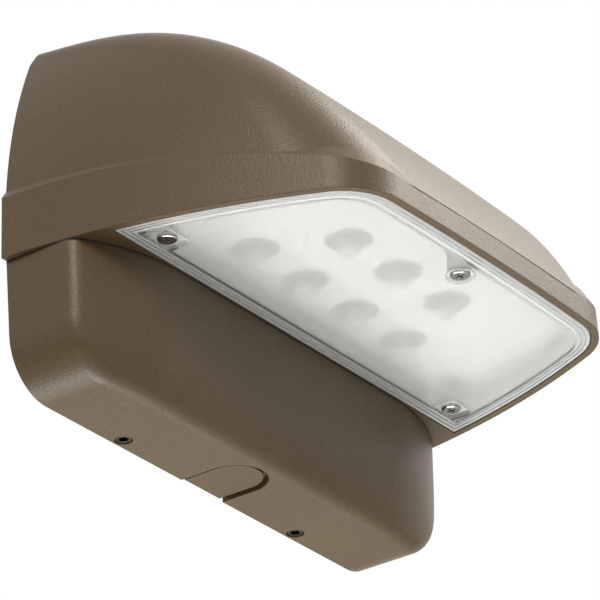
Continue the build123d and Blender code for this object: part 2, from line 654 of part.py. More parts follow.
def make_plate():
    """Steel wall plate with two hooks, a foot flange, slots for the wall box and a wire hole."""
    half = PLATE_HALF_WIDTH
    corners = [(-half, FLANGE_BOTTOM), (half, FLANGE_BOTTOM), (half, PLATE_TOP), (-half, PLATE_TOP)]
    outline = make_face(Polyline(*corners, close=True))
    outline = fillet(outline.vertices(), PLATE_CORNER_RADIUS)
    middle = -BAND_BOTTOM_Z
    slot_length = (BOX_SLOT_FAR - BOX_SLOT_NEAR) / 2 + BOX_SLOT_WIDTH
    slot_place = (BOX_SLOT_FAR + BOX_SLOT_NEAR) / 4
    outline -= Pos(0, middle) * Circle(WIRE_HOLE_RADIUS)
    for side in (-1, 1):
        outline -= Pos(side * slot_place, middle) * SlotOverall(slot_length, BOX_SLOT_WIDTH)
        outline -= Pos(0, middle + side * slot_place) * Rot(0, 0, 90) * SlotOverall(slot_length, BOX_SLOT_WIDTH)
    body = sheet(outline, 0, PLATE_THICKNESS)
    flange_top = FLANGE_BOTTOM + PLATE_THICKNESS
    body += block(-FLANGE_HALF_WIDTH, FLANGE_HALF_WIDTH, 0, FLANGE_LENGTH, FLANGE_BOTTOM, flange_top)
    bore = ROD_RADIUS + ROD_RUNNING_CLEARANCE
    rim = bore + PLATE_THICKNESS
    for side in (-1, 1):
        left, right = side * HOOK_X - HOOK_WIDTH / 2, side * HOOK_X + HOOK_WIDTH / 2
        heel = ROD_DEPTH - bore
        body += block(left, right, 0, heel, PLATE_TOP - PLATE_THICKNESS, PLATE_TOP)
        body += block(left, right, ROD_DEPTH - rim, heel, PLATE_TOP - PLATE_THICKNESS, ROD_HEIGHT)
        cradle = block(left, right, ROD_DEPTH - rim, ROD_DEPTH + rim, ROD_HEIGHT - rim, ROD_HEIGHT)
        turn = Pos(side * HOOK_X, 0, 0) * sideways(HOOK_WIDTH / 2, ROD_DEPTH, ROD_HEIGHT, rim)
        tip = block(left, right, ROD_DEPTH + bore, ROD_DEPTH + rim, ROD_HEIGHT, ROD_HEIGHT + ROD_RADIUS)
        body += (cradle & turn) + tip
        body -= Pos(side * HOOK_X, 0, 0) * sideways(HOOK_WIDTH, ROD_DEPTH, ROD_HEIGHT, bore)
    boss_end = PLATE_THICKNESS + GROUND_BOSS_LENGTH
    body += outward(GROUND_X, GROUND_HEIGHT, 0, boss_end, M4_RADIUS + BOSS_WALL)
    tap = M4_RADIUS + THREAD_CLEARANCE
    return body - outward(GROUND_X, GROUND_HEIGHT, GROUND_HOLE_FLOOR, boss_end + CUT_PAST, tap)


def make_ground_screw():
    """Hexagon-head ground screw in the plate's boss."""
    end = PLATE_THICKNESS + GROUND_BOSS_LENGTH
    shank = outward(GROUND_X, GROUND_HEIGHT, GROUND_HOLE_FLOOR + PART_CLEARANCE, end, M4_RADIUS)
    head = Pos(GROUND_X, -end, height(GROUND_HEIGHT)) * Rot(90, 0, 0) * hexagon(GROUND_HEX, GROUND_HEAD_HEIGHT)
    return shank + head


def make_lens():
    """Clear lens: a grooved rim, a bevelled raised field, two square screw pockets and a round one."""
    plate = prism(lens_outline(0), LENS_LOW, LENS_TOP)
    for start in LENS_GROOVES:
        groove = prism(lens_outline(start), LENS_LOW - CUT_PAST, LENS_LOW + LENS_GROOVE_DEPTH)
        inner = lens_outline(start + LENS_GROOVE_WIDTH)
        plate -= groove - prism(inner, LENS_LOW - 2 * CUT_PAST, LENS_TOP)
    field = loft(
        [
            Pos(0, 0, height(LENS_LOW - LENS_PROUD)) * lens_outline(LENS_RIM + LENS_BEVEL),
            Pos(0, 0, height(LENS_LOW)) * lens_outline(LENS_RIM),
        ]
    )
    body = plate + field
    low = LENS_LOW - LENS_PROUD - 1
    pocket_top = LENS_LOW - LENS_PROUD + LENS_POCKET_DEPTH
    pocket = RectangleRounded(LENS_POCKET_WIDTH, LENS_POCKET_LENGTH, LENS_POCKET_CORNER_RADIUS)
    for x, depth in LENS_SCREWS:
        if x:
            body -= prism(Pos(x, -depth) * pocket, low, pocket_top)
        else:
            body -= upright(x, depth, low, pocket_top, LENS_POCKET_LENGTH / 2)
        body -= upright(x, depth, low, LENS_TOP + 1, M35_RADIUS + HOLE_CLEARANCE)
    return body


def pan_screw(radius, head_height, length):
    """Pan-head screw pointing up from its head's seat at the origin, with a cross recess below."""
    head = Cylinder(radius * PAN_HEAD_RATIO, head_height, align=(Align.CENTER, Align.CENTER, Align.MAX))
    head = fillet(head.edges().group_by(Axis.Z)[0], head_height / 2.2)
    shank = Cylinder(radius, length, align=(Align.CENTER, Align.CENTER, Align.MIN))
    span, slot = radius * PAN_HEAD_RATIO, radius * CROSS_WIDTH_RATIO
    cross = Box(span, slot, head_height) + Box(slot, span, head_height)
    return head + shank - Pos(0, 0, -head_height) * cross


def make_lens_screws():
    """Three screws that hold the lens to the head's bosses."""
    seat = LENS_LOW - LENS_PROUD + LENS_POCKET_DEPTH
    screw = pan_screw(M35_RADIUS, LENS_POCKET_DEPTH - PART_CLEARANCE, FLOOR_BOTTOM - PART_CLEARANCE - seat)
    return [Pos(x, -depth, height(seat)) * screw for x, depth in LENS_SCREWS]


def clear_of_bosses(body, clearance):
    """Cuts room for the three lens bosses."""
    for x, depth in LENS_SCREWS:
        body -= upright(x, depth, -1, FLOOR_BOTTOM + 1, M35_RADIUS + BOSS_WALL + clearance)
    return body


def make_lens_gasket():
    """Silicone ring between the lens and the shelf."""
    ring = prism(lens_outline(LENS_GAP), LENS_TOP, LENS_TOP + LENS_GASKET_THICKNESS)
    ring -= prism(lens_outline(LENS_GAP + LENS_GASKET_WIDTH), LENS_TOP - 1, SHELF)
    return clear_of_bosses(ring, PART_CLEARANCE)


def make_tray():
    """White tray over the lens: a rim on the shelf, sloping walls and a floor with holes for the optics."""
    rim = prism(lens_outline(TRAY_RIM_INSET), SHELF - TRAY_SHEET, SHELF)

    def bowl(inset, low, high):
        mouth = SHELF_WIDTH + PART_CLEARANCE + inset
        foot = Pos(0, 0, height(high)) * lens_outline(mouth + TRAY_SLOPE)
        return loft([Pos(0, 0, height(low)) * lens_outline(mouth), foot])

    body = rim + bowl(0, SHELF - TRAY_SHEET, SHELF + TRAY_DEPTH)
    body -= bowl(TRAY_SHEET, SHELF - 2 * TRAY_SHEET, SHELF + TRAY_DEPTH - TRAY_SHEET)
    for x, depth in LED_PLACES:
        body -= upright(x, depth, SHELF, BOARD_BOTTOM, OPTIC_RADIUS + OPTIC_CLEARANCE)
    return clear_of_bosses(body, PART_CLEARANCE)


def make_board():
    """Aluminium-core LED board."""
    half = BOARD_WIDTH / 2
    near, far = LED_BOARD_DEPTH - BOARD_LENGTH / 2, LED_BOARD_DEPTH + BOARD_LENGTH / 2
    body = block(-half, half, near, far, BOARD_BOTTOM, BOARD_TOP)
    for x, depth in BOARD_SCREWS:
        body -= upright(x, depth, BOARD_BOTTOM - 1, BOARD_TOP + 1, M3_RADIUS + HOLE_CLEARANCE)
    return body


def make_pad():
    """Thermal pad between the board and the head's floor, open for the leads and screws."""
    half = BOARD_WIDTH / 2
    near, far = LED_BOARD_DEPTH - BOARD_LENGTH / 2, LED_BOARD_DEPTH + BOARD_LENGTH / 2
    body = block(-half, half, near, far, BOARD_TOP, FLOOR_BOTTOM)
    for x, depth in BOARD_SCREWS:
        body -= upright(x, depth, BOARD_TOP - 1, FLOOR_BOTTOM + 1, M3_RADIUS + HOLE_CLEARANCE)
    return body - upright(0, LED_BOARD_DEPTH, BOARD_TOP - 1, FLOOR_BOTTOM + 1, GROMMET_RADIUS)


def make_board_screws():
    """Four screws up through the board into the head's floor."""
    screw = pan_screw(M3_RADIUS, TRAY_SHEET - SEAT_CLEARANCE, FLOOR_TOP - BOARD_BOTTOM - PART_CLEARANCE)
    return [Pos(x, -depth, height(BOARD_BOTTOM)) * screw for x, depth in BOARD_SCREWS]


def make_emitters():
    """Seven LED emitters on the board's underside."""
    emitter = Box(EMITTER_SIDE, EMITTER_SIDE, EMITTER_BASE, align=(Align.CENTER, Align.CENTER, Align.MAX))
    dome = Pos(0, 0, -EMITTER_BASE) * Sphere(EMITTER_DOME_RADIUS)
    below = Box(FAR, FAR, FAR, align=(Align.CENTER, Align.CENTER, Align.MAX))
    emitter += dome & Pos(0, 0, -EMITTER_BASE / 2) * below
    return [Pos(x, -depth, height(BOARD_BOTTOM)) * emitter for x, depth in LED_PLACES]


def make_optics():
    """Seven clear domes on round feet, hollow over the emitters."""
    drop = (Align.CENTER, Align.CENTER, Align.MAX)
    foot = Cylinder(OPTIC_RADIUS, OPTIC_SKIRT, align=drop)
    barrel = Cylinder(OPTIC_DOME_RADIUS, OPTIC_HEIGHT - OPTIC_DOME_RADIUS, align=drop)
    tip = Sphere(OPTIC_DOME_RADIUS, arc_size1=-90, arc_size2=0, align=drop)
    dome = Pos(0, 0, OPTIC_DOME_RADIUS - OPTIC_HEIGHT) * tip
    optic = foot + barrel + dome - Sphere(OPTIC_HOLLOW_RADIUS)
    return [Pos(x, -depth, height(BOARD_BOTTOM)) * optic for x, depth in LED_PLACES]


def make_driver():
    """Potted driver with two screw ears."""
    half = DRIVER_WIDTH / 2
    case = block(-half, half, DRIVER_NEAR, DRIVER_FAR, DRIVER_LOW, DRIVER_HIGH)
    case = fillet(case.edges().filter_by(Axis.Y), DRIVER_CORNER_RADIUS)
    reach = half + DRIVER_EAR
    near = DRIVER_FAR - DRIVER_EAR_THICKNESS
    low, high = DRIVER_MIDDLE_HEIGHT - DRIVER_EAR_HALF_HEIGHT, DRIVER_MIDDLE_HEIGHT + DRIVER_EAR_HALF_HEIGHT
    case += block(-reach, reach, near, DRIVER_FAR, low, high)
    for side in (-1, 1):
        x = side * DRIVER_SCREW_X
        case -= outward(x, DRIVER_MIDDLE_HEIGHT, near - 1, DRIVER_FAR + 1, M35_RADIUS + HOLE_CLEARANCE)
    return case


def facing_out(x, up, seat):
    """Place that turns an upright screw to run out from the wall, its head's seat at a depth."""
    return Pos(x, -seat, height(up)) * Rot(90, 0, 0)


def make_driver_screws():
    """Two screws through the driver's ears into the lower box."""
    seat = DRIVER_FAR - DRIVER_EAR_THICKNESS
    screw = pan_screw(M35_RADIUS, DRIVER_SCREW_HEAD, DRIVER_SCREW_LENGTH)
    return [facing_out(side * DRIVER_SCREW_X, DRIVER_MIDDLE_HEIGHT, seat) * screw for side in (-1, 1)]


def make_casting_screws():
    """Three screws through the lower box's tabs into the head."""
    screw = pan_screw(M4_RADIUS, TAB_SCREW_HEAD, TAB_SCREW_END - TAB_NEAR - PART_CLEARANCE)
    return [facing_out(x, TAB_SCREW_HEIGHT, TAB_NEAR) * screw for x in TAB_PLACES]


def make_grommet():
    """Rubber grommet where the two LED leads pass the head's floor."""
    body = upright(0, LED_BOARD_DEPTH, FLOOR_BOTTOM, FLOOR_TOP, GROMMET_RADIUS)
    body += upright(0, LED_BOARD_DEPTH, FLOOR_TOP, FLOOR_TOP + GROMMET_LIP, GROMMET_RADIUS + GROMMET_LIP)
    for side in (-1, 1):
        x = side * LEAD_PAIR_HALF_SPACING
        top = FLOOR_TOP + GROMMET_LIP + 1
        body -= upright(x, LED_BOARD_DEPTH, FLOOR_BOTTOM - 1, top, LED_LEAD_RADIUS + SEAT_CLEARANCE)
    return body


def lead(name, points, radius):
    """Insulated wire along straight runs joined by arcs, through points given as (x, depth, height)."""
    route = [Vector(x, -depth, height(up)) for x, depth, up in points]
    runs = [(b - a) for a, b in zip(route, route[1:])]
    bends = []
    for before, after in zip(runs, runs[1:]):
        turn = radians(before.get_angle(after))
        bends.append(0.45 * min(before.length, after.length) / tan(turn / 2))
    path = FilletPolyline(*route, radius=bends)
    start = Plane(origin=path @ 0, z_dir=path % 0)
    tube = sweep(start * Circle(radius), path=path)
    print(name, "bends", [round(bend, 1) for bend in bends], "length", round(path.length, 1))
    return tube


def make_led_lead(name, side):
    """Lead from the driver up through the rear cavity and down through the grommet to the board."""
    x = side * LEAD_PAIR_HALF_SPACING
    points = [
        (26 + 3 * side, DRIVER_MIDDLE_DEPTH, DRIVER_HIGH),
        (26 + 3 * side, DRIVER_MIDDLE_DEPTH, 6),
        (24 + 3 * side, 23, 20),
        (17 + 3 * side, 35, 31 + side),
        (8 + 2 * side, 50, 37 + side),
        (1 + x, 63, 34.5 + side),
        (x, LED_BOARD_DEPTH, 24.5 + side),
        (x, LED_BOARD_DEPTH, BOARD_TOP),
    ]
    return lead(name, points, LED_LEAD_RADIUS)


def make_supply_lead(name, x):
    """Lead from the driver up to its splice connector."""
    points = [
        (x, DRIVER_MIDDLE_DEPTH, DRIVER_HIGH),
        (x, DRIVER_MIDDLE_DEPTH, 3),
        (x + 2, 21, 15),
        (x + CONNECTOR_SHIFT, CONNECTOR_MIDDLE_DEPTH, 27),
        (x + CONNECTOR_SHIFT, CONNECTOR_MIDDLE_DEPTH, CONNECTOR_FOOT),
    ]
    return lead(name, points, SUPPLY_LEAD_RADIUS)


def make_connectors():
    """Three push-in splice connectors on the ends of the supply leads."""
    near, far = CONNECTOR_MIDDLE_DEPTH - CONNECTOR_DEPTH / 2, CONNECTOR_MIDDLE_DEPTH + CONNECTOR_DEPTH / 2
    connectors = []
    for x in SUPPLY_X:
        left = x + CONNECTOR_SHIFT - CONNECTOR_WIDTH / 2
        top = CONNECTOR_FOOT + CONNECTOR_HEIGHT
        connectors.append(block(left, left + CONNECTOR_WIDTH, near, far, CONNECTOR_FOOT, top))
    return connectors


def write(name, shape):
    """One STEP file per piece, or per group of like pieces."""
    if isinstance(shape, list):
        shape = Compound(children=[solid for item in shape for solid in item.solids()])
    shape.label = name
    export_step(shape, f"parts/{name}.step")


def main():
    os.makedirs("parts", exist_ok=True)
    write("head_housing", make_head())
    write("lower_box", make_box())
    write("seam_gasket", make_seam_gasket())
    write("wall_gasket", make_wall_gasket())
    write("casting_screws", make_casting_screws())
    write("hinge_rod", sideways(ROD_HALF_LENGTH, ROD_DEPTH, ROD_HEIGHT, ROD_RADIUS))
    write("lens", make_lens())
    write("lens_gasket", make_lens_gasket())
    write("lens_screws", make_lens_screws())
    write("reflector_tray", make_tray())
    write("led_board", make_board())
    write("led_emitters", make_emitters())
    write("led_optics", make_optics())
    write("board_screws", make_board_screws())
    write("thermal_pad", make_pad())
    write("lead_grommet", make_grommet())
    write("led_driver", make_driver())
    write("driver_screws", make_driver_screws())
    write("led_lead_positive", make_led_lead("led_lead_positive", 1))
    write("led_lead_negative", make_led_lead("led_lead_negative", -1))
    for name, x in zip(("line", "neutral", "ground"), SUPPLY_X):
        write(f"supply_lead_{name}", make_supply_lead(f"supply_lead_{name}", x))
    write("splice_connectors", make_connectors())
    write("mounting_plate", make_plate())
    write("ground_screw", make_ground_screw())
    write("set_screw_left", make_set_screw(-1))
    write("set_screw_right", make_set_screw(1))
    write("conduit_plug", make_plug())


main()
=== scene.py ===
import math

import bmesh
import bpy
from mathutils import Euler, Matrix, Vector

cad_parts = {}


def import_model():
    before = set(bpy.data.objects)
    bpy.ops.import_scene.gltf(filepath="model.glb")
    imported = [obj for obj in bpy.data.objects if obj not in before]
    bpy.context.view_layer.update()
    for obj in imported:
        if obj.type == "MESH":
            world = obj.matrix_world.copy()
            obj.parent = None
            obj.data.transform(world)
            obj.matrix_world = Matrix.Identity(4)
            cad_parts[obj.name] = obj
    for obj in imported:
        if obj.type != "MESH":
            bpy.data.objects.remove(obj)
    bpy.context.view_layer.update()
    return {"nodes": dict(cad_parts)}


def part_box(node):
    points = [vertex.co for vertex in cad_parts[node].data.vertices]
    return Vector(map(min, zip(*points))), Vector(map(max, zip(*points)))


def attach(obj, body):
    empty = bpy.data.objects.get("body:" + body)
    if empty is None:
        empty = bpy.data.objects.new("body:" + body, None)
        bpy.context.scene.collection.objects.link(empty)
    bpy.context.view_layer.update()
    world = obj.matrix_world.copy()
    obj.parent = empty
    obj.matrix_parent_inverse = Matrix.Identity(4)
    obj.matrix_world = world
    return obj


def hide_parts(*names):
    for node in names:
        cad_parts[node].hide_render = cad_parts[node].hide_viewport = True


class Socket:  # wraps a node's output, so that maths on it reads as an expression
    def __init__(self, tree, output):
        self.tree = tree
        self.output = output

    def maths(self, operation, *values):
        return addNode(self.tree, "ShaderNodeMath", {"operation": operation}, dict(enumerate(values)))

    def __add__(self, other):
        return self.maths("ADD", self, other)

    def __radd__(self, other):
        return self.maths("ADD", other, self)

    def __sub__(self, other):
        return self.maths("SUBTRACT", self, other)

    def __rsub__(self, other):
        return self.maths("SUBTRACT", other, self)

    def __mul__(self, other):
        return self.maths("MULTIPLY", self, other)

    def __rmul__(self, other):
        return self.maths("MULTIPLY", other, self)

    def __gt__(self, other):
        return self.maths("GREATER_THAN", self, other)

    def __lt__(self, other):
        return self.maths("LESS_THAN", self, other)

    def rise(self, low, high):  # smooth step from 0 at low to 1 at high
        smooth = {"interpolation_type": "SMOOTHSTEP"}
        ends = {"Value": self, "From Min": low, "From Max": high}
        return addNode(self.tree, "ShaderNodeMapRange", smooth, ends, "Result")


def addNode(tree, kind, settings, values, output=0):
    node = tree.nodes.new(kind)
    for name, value in settings.items():
        setattr(node, name, value)
    for key, value in values.items():
        plug(tree, node.inputs[key], value)
    return Socket(tree, node.outputs[output]) if node.outputs else None


def plug(tree, slot, value):
    if isinstance(value, Socket):
        tree.links.new(value.output, slot)
    elif isinstance(value, tuple) and slot.type == "RGBA":
        slot.default_value = (*value, 1.0)
    else:
        slot.default_value = value


def linked(name, data):
    piece = bpy.data.objects.new(name, data)
    bpy.context.scene.collection.objects.link(piece)
    return piece


class Finish:  # one procedural material on a Principled shader
    def __init__(self, name, **fixed):
        self.material = bpy.data.materials.new(name)
        self.material.use_nodes = True
        self.tree = self.material.node_tree
        self.shader = self.tree.nodes["Principled BSDF"]
        self.output = self.tree.nodes["Material Output"]
        self.feed(**fixed)

    def feed(self, **values):
        for name, value in values.items():
            plug(self.tree, self.shader.inputs[name.replace("_", " ")], value)

    def node(self, kind, settings, values, output=0):
        return addNode(self.tree, kind, settings, values, output)

    def place(self):
        return self.node("ShaderNodeTexCoord", {}, {}, "Object")

    def along(self, letter):
        return self.node("ShaderNodeSeparateXYZ", {}, {"Vector": self.place()}, letter)

    def noise(self, perM, detail=2.0, roughness=0.55):
        values = {"Vector": self.place(), "Scale": perM, "Detail": detail, "Roughness": roughness}
        return self.node("ShaderNodeTexNoise", {}, values)

    def specks(self, perM):
        return self.node("ShaderNodeTexVoronoi", {}, {"Vector": self.place(), "Scale": perM}, "Distance")

    def blend(self, share, first, second):
        return self.node("ShaderNodeMix", {"data_type": "RGBA"}, {0: share, 6: first, 7: second}, 2)

    def relief(self, height, depthM, edgeM=0.0):
        values = {"Height": height, "Distance": depthM, "Strength": 1.0}
        if edgeM:
            values["Normal"] = self.node("ShaderNodeBevel", {"samples": 4}, {"Radius": edgeM}, "Normal")
        self.feed(Normal=self.node("ShaderNodeBump", {}, values, "Normal"))


# Bronze powder coat on both castings and the tongue

powderCoat = {
    "colour": (0.088, 0.0585, 0.0265),
    "palerColour": (0.120, 0.0825, 0.0415),
    "toneEdges": (0.15, 0.85),
    "roughness": 0.42,
    "specular": 0.40,
    "grainPerM": 1150.0,
    "grainTone": 1.1,
    "grainDepthM": 0.00016,
    "speckPerM": 1900.0,
    "speckTone": 0.7,
    "speckGloss": 0.20,
    "cloudPerM": 14.0,
    "cloudTone": 0.5,
    "cloudGloss": 0.08,
    "pitsPerM": 760.0,
    "pitEdges": (0.02, 0.30),
    "pitShare": 0.3,
    "roundedEdgeM": 0.0006,
}


def makePowderCoat():
    look = powderCoat
    finish = Finish("bronzePowderCoat", Specular_IOR_Level=look["specular"])
    grain = finish.noise(look["grainPerM"], 3.0, 0.6) - 0.5
    speck = finish.noise(look["speckPerM"], 1.0) - 0.5
    cloud = finish.noise(look["cloudPerM"]) - 0.5
    pits = finish.specks(look["pitsPerM"]).rise(*look["pitEdges"])
    tone = grain * look["grainTone"] + speck * look["speckTone"] + cloud * look["cloudTone"] + 0.5
    finish.feed(
        Base_Color=finish.blend(tone.rise(*look["toneEdges"]), look["colour"], look["palerColour"]),
        Roughness=speck * look["speckGloss"] + cloud * look["cloudGloss"] + look["roughness"],
    )
    height = grain * (1.0 - look["pitShare"]) + pits * look["pitShare"]
    finish.relief(height, look["grainDepthM"], look["roundedEdgeM"])
    return finish.material


# Clear lens: polished rim, lightly frosted field that stands below it

lensLook = {
    "tint": (0.965, 0.972, 0.965),
    "shadowTint": (0.47, 0.47, 0.46),  # how much lamp light reaches the tray
    "rimRoughness": 0.02,
    "fieldRoughness": 0.085,
    "ior": 1.49,
    "fieldLowM": -0.0191,
    "milky": (0.90, 0.91, 0.90),
    "rimMilk": 0.45,
    "fieldMilk": 0.10,
    "hazePerM": 850.0,
    "hazeGloss": 0.02,
    "hazeDepthM": 0.000006,
    "edgeM": 0.0003,
}


def makeLensPlastic():
    look = lensLook
    finish = Finish("clearLens", Transmission_Weight=1.0, IOR=look["ior"], Base_Color=look["tint"])
    field = finish.along("Z") < look["fieldLowM"]
    haze = finish.noise(look["hazePerM"])
    frost = field * (look["fieldRoughness"] - look["rimRoughness"])
    finish.feed(Roughness=frost + haze * look["hazeGloss"] + look["rimRoughness"])
    finish.relief(haze, look["hazeDepthM"], look["edgeM"])
    milk = finish.node("ShaderNodeBsdfDiffuse", {}, {"Color": look["milky"]})
    clear = finish.node("ShaderNodeBsdfTransparent", {}, {"Color": look["shadowTint"]})
    share = field * (look["fieldMilk"] - look["rimMilk"]) + look["rimMilk"]
    plastic = Socket(finish.tree, finish.shader.outputs[0])
    body = finish.node("ShaderNodeMixShader", {}, {0: share, 1: plastic, 2: milk})
    shadow = finish.node("ShaderNodeLightPath", {}, {}, "Is Shadow Ray")
    lit = finish.node("ShaderNodeMixShader", {}, {0: shadow, 1: body, 2: clear})
    plug(finish.tree, finish.output.inputs["Surface"], lit)
    return finish.material


# Optics over the LEDs, made again by one rule: a row of four and a row of three, with painted shade on
# the barrels and a painted highlight at the tips

opticLook = {
    # painted shade: the grey of the barrels; the white at the tips is a painted highlight
    "colour": (0.62, 0.63, 0.63),
    "tipPaintedHighlightColour": (1.0, 1.0, 1.0),
    "tipFromM": 0.0012,
    "tipToM": 0.0030,
    "tipWaverM": 0.0006,
    "roughness": 0.12,
    "ior": 1.49,
    "transmission": 0.50,
    "swirlPerM": 420.0,
    "swirlGloss": 0.04,
    "swirlDepthM": 0.000004,
    "pitchM": 0.0275,
    "rowGapM": 0.026,
    "footHeightM": 0.0016,
    "footEdgeM": 0.0003,
    "filletM": 0.0012,
    "domeRadiusM": 0.0047,
    "domeSteps": 12,
    "domeFlat": 0.5,  # part of a step that stays flat at the tip
    "hollowRadiusM": 0.0032,
    "hollowSteps": 8,
    "hollowFlat": 0.3,
    "liftM": 0.00005,
    "around": 48,
}


def makeOpticPlastic():
    look = opticLook
    finish = Finish("clearOptic", Transmission_Weight=look["transmission"], IOR=look["ior"])
    swirl = finish.noise(look["swirlPerM"])
    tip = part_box("led_optics")[0][2]
    height = (swirl - 0.5) * look["tipWaverM"] + finish.along("Z")
    # painted highlight at the tip and painted shade on the barrel above it, blended by height with a
    # wavering edge
    barrelShadeShare = height.rise(tip + look["tipFromM"], tip + look["tipToM"])
    finish.feed(
        Base_Color=finish.blend(barrelShadeShare, look["tipPaintedHighlightColour"], look["colour"]),
        Roughness=swirl * look["swirlGloss"] + look["roughness"],
    )
    finish.relief(swirl, look["swirlDepthM"])
    return finish.material


def turnedMesh(name, outline, around):  # closed solid turned round Z from (radius, height) points
    mesh = bpy.data.meshes.new(name)
    solid = bmesh.new()
    rings = []
    for radius, high in outline:
        ring = []
        for step in range(around):
            turn = 2.0 * math.pi * step / around
            ring.append(solid.verts.new((radius * math.cos(turn), radius * math.sin(turn), high)))
        rings.append(ring)
    for lower, upper in zip(rings, rings[1:]):
        for step in range(around):
            after = (step + 1) % around
            solid.faces.new((lower[step], lower[after], upper[after], upper[step]))
    solid.faces.new(list(reversed(rings[0])))
    solid.faces.new(rings[-1])
    bmesh.ops.recalc_face_normals(solid, faces=solid.faces[:])
    for face in solid.faces:
        face.smooth = len(face.verts) == 4
    solid.to_mesh(mesh)
    solid.free()
    return mesh


def rowsTree(name):  # geometry nodes: one piece on a back row of four and a front row of three
    tree = bpy.data.node_groups.new(name, "GeometryNodeTree")
    tree.interface.new_socket("Geometry", in_out="OUTPUT", socket_type="NodeSocketGeometry")
    titles = {
        "Piece": "NodeSocketObject",
        "Finish": "NodeSocketMaterial",
        "Pitch": "NodeSocketFloat",
        "Back Row Start": "NodeSocketVector",
        "Front Row Start": "NodeSocketVector",
    }
    for title, kind in titles.items():
        tree.interface.new_socket(title, in_out="INPUT", socket_type=kind)
    given = {title: addNode(tree, "NodeGroupInput", {}, {}, title) for title in titles}
    step = addNode(tree, "ShaderNodeCombineXYZ", {}, {"X": given["Pitch"]})
    points = addNode(tree, "GeometryNodeJoinGeometry", {}, {})
    for count, title in ((4, "Back Row Start"), (3, "Front Row Start")):
        values = {"Count": count, "Start Location": given[title], "Offset": step}
        row = addNode(tree, "GeometryNodeMeshLine", {"mode": "OFFSET"}, values)
        plug(tree, points.output.node.inputs[0], row)
    shape = addNode(tree, "GeometryNodeObjectInfo", {}, {"Object": given["Piece"]}, "Geometry")
    placed = addNode(tree, "GeometryNodeInstanceOnPoints", {}, {"Points": points, "Instance": shape})
    real = addNode(tree, "GeometryNodeRealizeInstances", {}, {0: placed})
    dressed = addNode(tree, "GeometryNodeSetMaterial", {}, {0: real, "Material": given["Finish"]})
    addNode(tree, "NodeGroupOutput", {}, {0: dressed})
    return tree


def inRows(name, mesh, material, backStart, frontStart):
    pattern = linked(name + "Pattern", mesh)
    holder = linked(name + "Holder", bpy.data.meshes.new(name + "Holder"))
    rule = holder.modifiers.new("rows", "NODES")
    rule.node_group = rowsTree(name + "Rows")
    wanted = {
        "Piece": pattern,
        "Finish": material,
        "Pitch": opticLook["pitchM"],
        "Back Row Start": backStart,
        "Front Row Start": frontStart,
    }
    for item in rule.node_group.interface.items_tree:
        if item.in_out == "INPUT":
            rule[item.identifier] = wanted[item.name]
    bpy.context.view_layer.update()
    evaluated = holder.evaluated_get(bpy.context.evaluated_depsgraph_get())
    made = bpy.data.meshes.new_from_object(evaluated)
    made.name = name
    holder.modifiers.remove(rule)
    bpy.data.objects.remove(holder)
    bpy.data.objects.remove(pattern)
    return linked(name, made)


def makeOptics():
    look = opticLook
    low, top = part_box("led_optics")
    pitch, gap = look["pitchM"], look["rowGapM"]
    middle, depth = (low[0] + top[0]) / 2.0, (low[1] + top[1]) / 2.0
    backStart = (middle - 1.5 * pitch, depth + gap / 2.0, top[2])
    frontStart = (middle - pitch, depth - gap / 2.0, top[2])
    foot, footHeight = (top[1] - low[1] - gap) / 2.0, look["footHeightM"]
    dome, hollow, fillet = look["domeRadiusM"], look["hollowRadiusM"], look["filletM"]
    bend = top[2] - low[2] - dome
    edge, seat = look["footEdgeM"], -look["liftM"]
    outline = []
    for step in range(look["hollowSteps"] + 1):  # hollow over the emitter
        turn = math.pi / 2.0 * (step + look["hollowFlat"]) / (look["hollowSteps"] + look["hollowFlat"])
        outline.append((hollow * math.sin(turn), seat - hollow * math.cos(turn)))
    outline += [(foot - edge, seat), (foot, seat - edge)]
    outline += [(foot, edge - footHeight), (foot - edge, -footHeight)]
    for share in (1.0, 0.6, 0.3, 0.0):  # hollow curve from the foot into the dome's barrel
        outline.append((dome + fillet * share**2, -footHeight - fillet * (1.0 - share) ** 2))
    for step in range(look["domeSteps"] + 1):
        turn = math.pi / 2.0 * step / (look["domeSteps"] + look["domeFlat"])
        outline.append((dome * math.cos(turn), -bend - dome * math.sin(turn)))
    mesh = turnedMesh("optic", outline, look["around"])
    optics = inRows("ledOptics", mesh, makeOpticPlastic(), backStart, frontStart)
    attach(optics, "head")
    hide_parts("led_optics")


# White reflector tray: its walls carry painted shade, a darker grey than its white floor

trayLook = {
    "floorColour": (0.88, 0.885, 0.875),
    # painted shade: the darker grey given to the tray's walls
    "wallPaintedShadeColour": (0.36, 0.365, 0.355),
    "wallEndsM": 0.0064,
    "floorStartsM": 0.0016,
    "roughness": 0.36,
    "glossSpread": 0.14,
    "grainPerM": 420.0,
    "grainM": 0.000010,
    "edgeM": 0.0006,
}


def makeTrayWhite():
    look = trayLook
    finish = Finish("trayWhite")
    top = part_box("reflector_tray")[1][2]
    # painted shade: the walls, below the floor's level, blend from the floor's white into a darker grey
    floor = finish.along("Z").rise(top - look["wallEndsM"], top - look["floorStartsM"])
    grain = finish.noise(look["grainPerM"], 3.0)
    finish.feed(
        Base_Color=finish.blend(floor, look["wallPaintedShadeColour"], look["floorColour"]),
        Roughness=(grain - 0.5) * look["glossSpread"] + look["roughness"],
    )
    finish.relief(grain, look["grainM"], look["edgeM"])
    return finish.material


# Grained finishes of the other pieces

grainStyle = {
    "glossSpread": 0.14,
    "cloudPerM": 40.0,
    "toneEdges": (0.25, 0.75),
}

